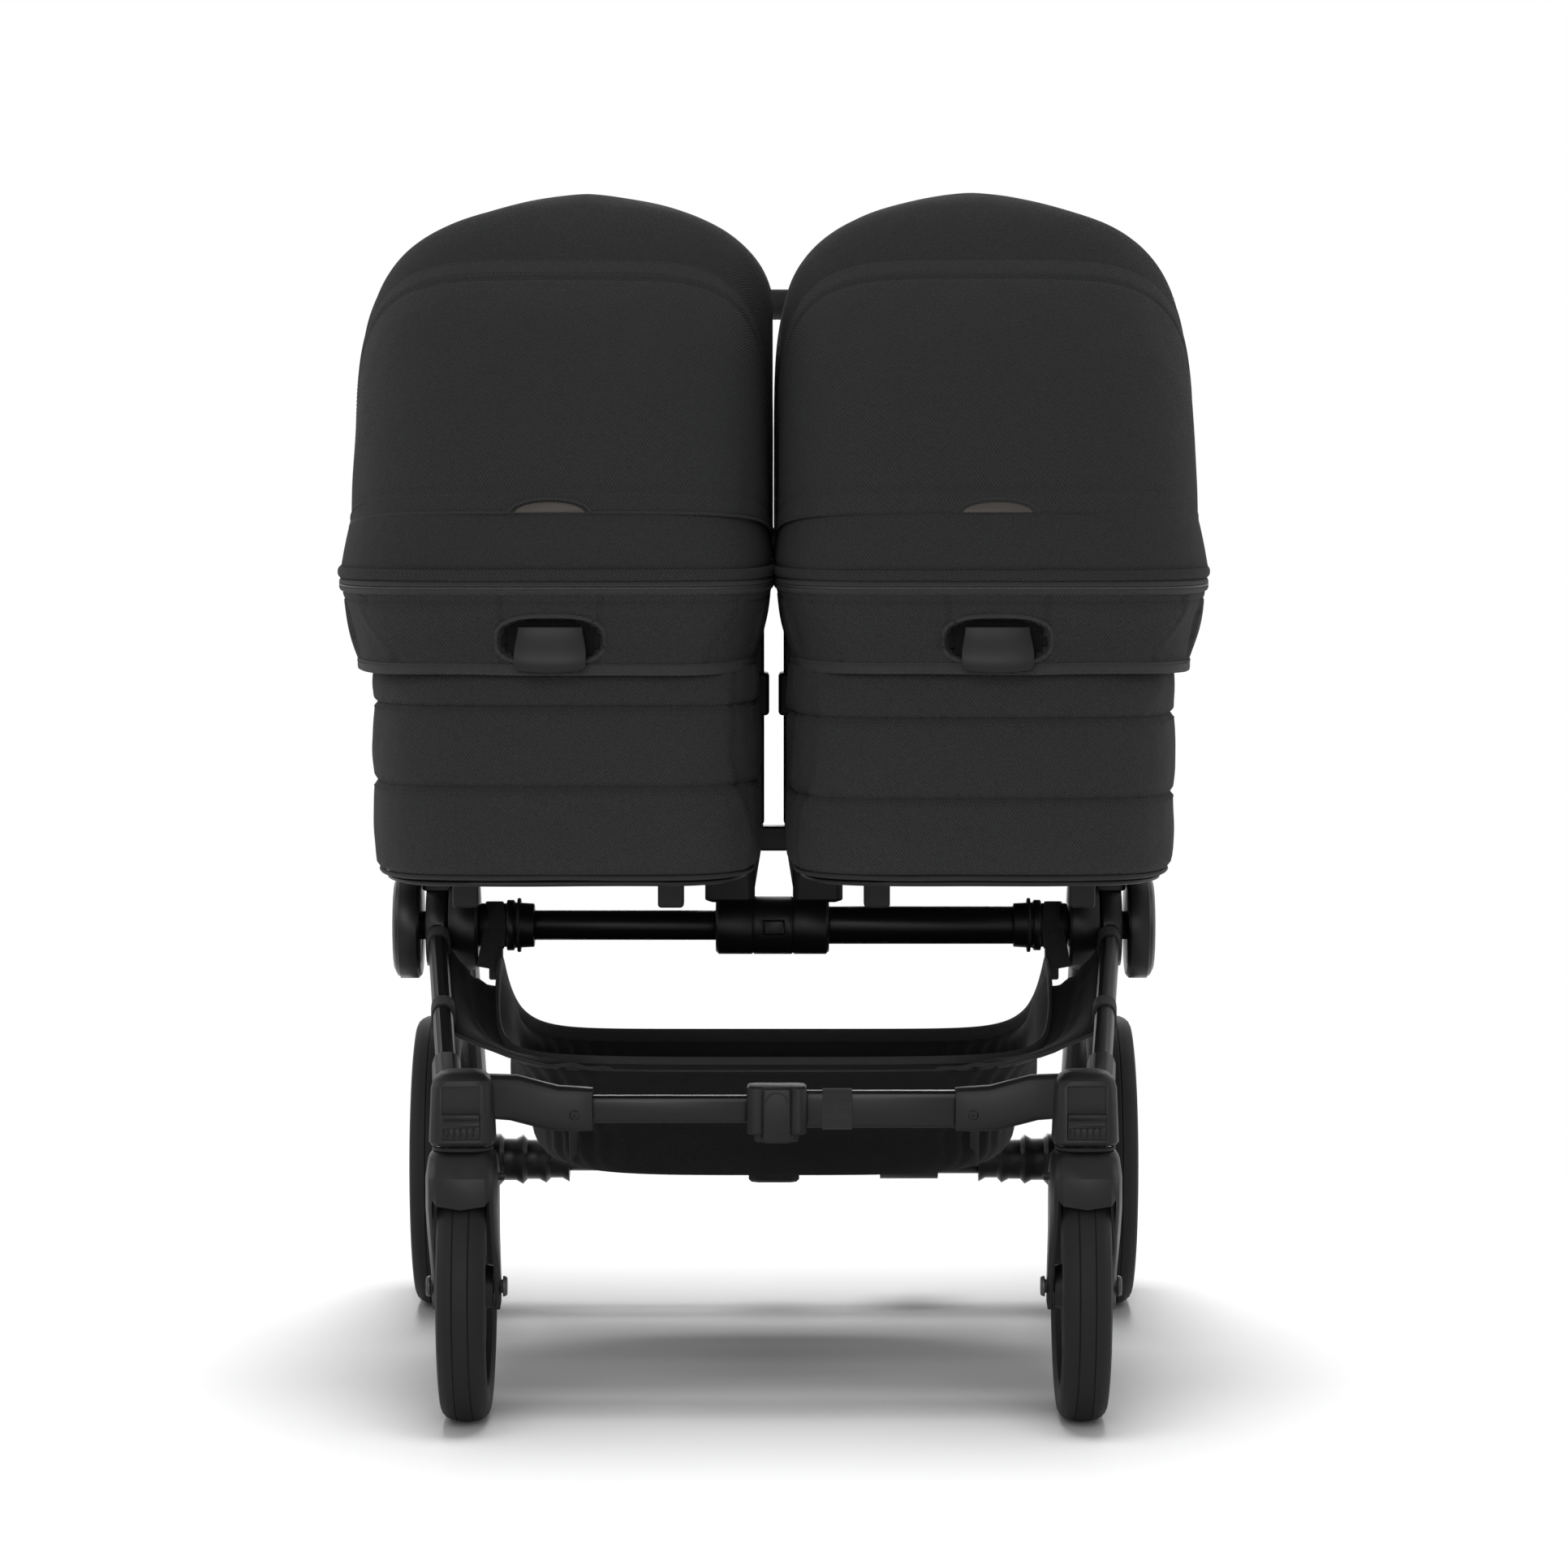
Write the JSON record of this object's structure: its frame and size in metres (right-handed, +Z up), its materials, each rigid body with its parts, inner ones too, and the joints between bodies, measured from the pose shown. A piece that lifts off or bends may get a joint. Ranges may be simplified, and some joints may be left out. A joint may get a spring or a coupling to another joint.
{
  "type": "twin pram",
  "caption": "Side-by-side twin pram with hooded carrycots on a folding four-wheel frame with swivel front wheels, a telescopic handlebar and a shopping basket.",
  "frame": {"origin": "centre of the bounding box in plan, on the floor under the wheels", "axes": "+Z up, +X to the right as seen from the front-wheel side, +Y towards the handlebar"},
  "size_m": [0.7962, 1.0677, 1.1254],
  "materials": {
    "cloth": "black twill",
    "basket_cloth": "black nylon",
    "pad": "padded knit",
    "black_tube": "satin black aluminium tube",
    "black_plastic": "fine grain",
    "steel_pin": "blackened",
    "grip": "foam grip",
    "tyre": "black tyre rubber"
  },
  "bodies": {
    "frame": {"axle_tube_left": "black_tube", "axle_tube_right": "black_tube", "centre_hub": "black_plastic", "hub_collar_left": "black_plastic", "hub_collar_right": "black_plastic", "front_leg_left": "black_tube", "front_leg_right": "black_tube", "caster_housing_left": "black_plastic", "caster_housing_right": "black_plastic", "front_bar_left": "black_tube", "front_bar_right": "black_tube", "front_bar_clamp": "black_plastic", "centre_bracket": "black_plastic", "seat_adapter_left": "black_plastic", "seat_adapter_right": "black_plastic", "basket": "basket_cloth"},
    "rear_frame": {"rear_leg_left": "black_tube", "rear_leg_right": "black_tube", "rear_beam_left": "black_tube", "rear_beam_right": "black_tube", "rear_clamp": "black_plastic"},
    "brake_pedal": {"brake_pedal": "black_plastic"},
    "handlebar_lower": {"handle_tube_left": "black_tube", "handle_tube_right": "black_tube"},
    "handlebar_upper": {"handlebar_upper": "black_tube", "handle_grip": "grip"},
    "height_clamp_left": {"height_clamp_left": "black_plastic"},
    "height_clamp_right": {"height_clamp_right": "black_plastic"},
    "caster_left": {"fork_left": "black_plastic", "front_axle_left": "steel_pin"},
    "caster_right": {"fork_right": "black_plastic", "front_axle_right": "steel_pin"},
    "front_wheel_left": {"front_rim_left": "black_plastic", "front_tyre_left": "tyre"},
    "front_wheel_right": {"front_rim_right": "black_plastic", "front_tyre_right": "tyre"},
    "rear_wheel_left": {"rear_rim_left": "black_plastic", "rear_tyre_left": "tyre"},
    "rear_wheel_right": {"rear_rim_right": "black_plastic", "rear_tyre_right": "tyre"},
    "swivel_lock_left": {"swivel_lock_left": "black_plastic"},
    "swivel_lock_right": {"swivel_lock_right": "black_plastic"},
    "front_bar_lever": {"front_bar_lever": "black_plastic"},
    "width_button": {"width_button": "black_plastic"},
    "carrycot_left": {"carrycot_left": "cloth", "mattress_left": "pad", "apron_left": "cloth", "hood_back_left": "cloth", "hood_band_left": "cloth", "hood_top_left": "cloth"},
    "carrycot_right": {"carrycot_right": "cloth", "mattress_right": "pad", "apron_right": "cloth", "hood_back_right": "cloth", "hood_band_right": "cloth", "hood_top_right": "cloth"},
    "hood_bow_left": {"hood_bow_left": "black_plastic"},
    "hood_bow_right": {"hood_bow_right": "black_plastic"},
    "release_flap_left": {"release_flap_left": "black_plastic"},
    "release_flap_right": {"release_flap_right": "black_plastic"}
  },
  "joints": [
    {"name": "chassis_fold", "type": "hinge", "parent": "frame", "child": "handlebar_lower", "pos_m": [0, -0.038, 0.421], "axis": [1, 0, 0], "range_deg": [0, 125]},
    {"name": "rear_fold", "type": "hinge", "parent": "frame", "child": "rear_frame", "pos_m": [0, -0.038, 0.421], "axis": [1, 0, 0], "range_deg": [-60, 0]},
    {"name": "carrycot_lift_left", "type": "slide", "parent": "frame", "child": "carrycot_left", "axis": [0, -0.6, 0.8], "range_m": [0, 2.2]},
    {"name": "carrycot_lift_right", "type": "slide", "parent": "frame", "child": "carrycot_right", "axis": [0, -0.6, 0.8], "range_m": [0, 2.2]},
    {"name": "handle_height", "type": "slide", "parent": "handlebar_lower", "child": "handlebar_upper", "axis": [0, 0.6704, 0.742], "range_m": [-0.12, 0.03]},
    {"name": "height_clamp_turn_left", "type": "hinge", "parent": "handlebar_lower", "child": "height_clamp_left", "pos_m": [-0.384, 0.3485, 0.8184], "axis": [1, 0, 0], "range_deg": [0, 80]},
    {"name": "height_clamp_turn_right", "type": "hinge", "parent": "handlebar_lower", "child": "height_clamp_right", "pos_m": [0.384, 0.3485, 0.8184], "axis": [1, 0, 0], "range_deg": [0, 80]},
    {"name": "caster_swivel_left", "type": "hinge", "parent": "frame", "child": "caster_left", "pos_m": [-0.282, -0.463, 0.258], "axis": [0, 0, 1], "continuous": true},
    {"name": "caster_swivel_right", "type": "hinge", "parent": "frame", "child": "caster_right", "pos_m": [0.282, -0.463, 0.258], "axis": [0, 0, 1], "continuous": true},
    {"name": "front_wheel_spin_left", "type": "hinge", "parent": "caster_left", "child": "front_wheel_left", "pos_m": [-0.282, -0.408, 0.1235], "axis": [1, 0, 0], "continuous": true},
    {"name": "front_wheel_spin_right", "type": "hinge", "parent": "caster_right", "child": "front_wheel_right", "pos_m": [0.282, -0.408, 0.1235], "axis": [1, 0, 0], "continuous": true},
    {"name": "rear_wheel_spin_left", "type": "hinge", "parent": "rear_frame", "child": "rear_wheel_left", "pos_m": [-0.345, 0.245, 0.15], "axis": [1, 0, 0], "continuous": true},
    {"name": "rear_wheel_spin_right", "type": "hinge", "parent": "rear_frame", "child": "rear_wheel_right", "pos_m": [0.345, 0.245, 0.15], "axis": [1, 0, 0], "continuous": true},
    {"name": "brake_press", "type": "hinge", "parent": "rear_frame", "child": "brake_pedal", "pos_m": [0.14, 0.245, 0.15], "axis": [1, 0, 0], "range_deg": [-20, 0]},
    {"name": "swivel_lock_slide_left", "type": "slide", "parent": "frame", "child": "swivel_lock_left", "axis": [0, 0, 1], "range_m": [0, 0.006]},
    {"name": "swivel_lock_slide_right", "type": "slide", "parent": "frame", "child": "swivel_lock_right", "axis": [0, 0, 1], "range_m": [0, 0.006]},
    {"name": "front_bar_lever_turn", "type": "hinge", "parent": "frame", "child": "front_bar_lever", "pos_m": [0.0025, -0.4553, 0.2625], "axis": [1, 0, 0], "range_deg": [0, 75]},
    {"name": "width_button_press", "type": "slide", "parent": "frame", "child": "width_button", "axis": [0, 1, 0], "range_m": [0, 0.004], "stiffness_N_per_m": 400},
    {"name": "hood_fold_left", "type": "hinge", "parent": "carrycot_left", "child": "hood_bow_left", "pos_m": [-0.2005, -0.198, 0.8], "axis": [1, 0, 0], "range_deg": [0, 50], "deforming": ["hood_top_left"]},
    {"name": "hood_fold_right", "type": "hinge", "parent": "carrycot_right", "child": "hood_bow_right", "pos_m": [0.2005, -0.198, 0.8], "axis": [1, 0, 0], "range_deg": [0, 50], "deforming": ["hood_top_right"]},
    {"name": "flap_pull_left", "type": "hinge", "parent": "carrycot_left", "child": "release_flap_left", "pos_m": [-0.2005, -0.4803, 0.733], "axis": [1, 0, 0], "range_deg": [-15, 0], "stiffness_Nm_per_rad": 0.3},
    {"name": "flap_pull_right", "type": "hinge", "parent": "carrycot_right", "child": "release_flap_right", "pos_m": [0.2005, -0.4803, 0.733], "axis": [1, 0, 0], "range_deg": [-15, 0], "stiffness_Nm_per_rad": 0.3}
  ],
  "couplings": [
    {"joint": "rear_fold", "follows": "chassis_fold", "ratio": -0.48},
    {"joint": "carrycot_lift_left", "follows": "chassis_fold", "m_per_rad": 1},
    {"joint": "carrycot_lift_right", "follows": "chassis_fold", "m_per_rad": 1}
  ]
}
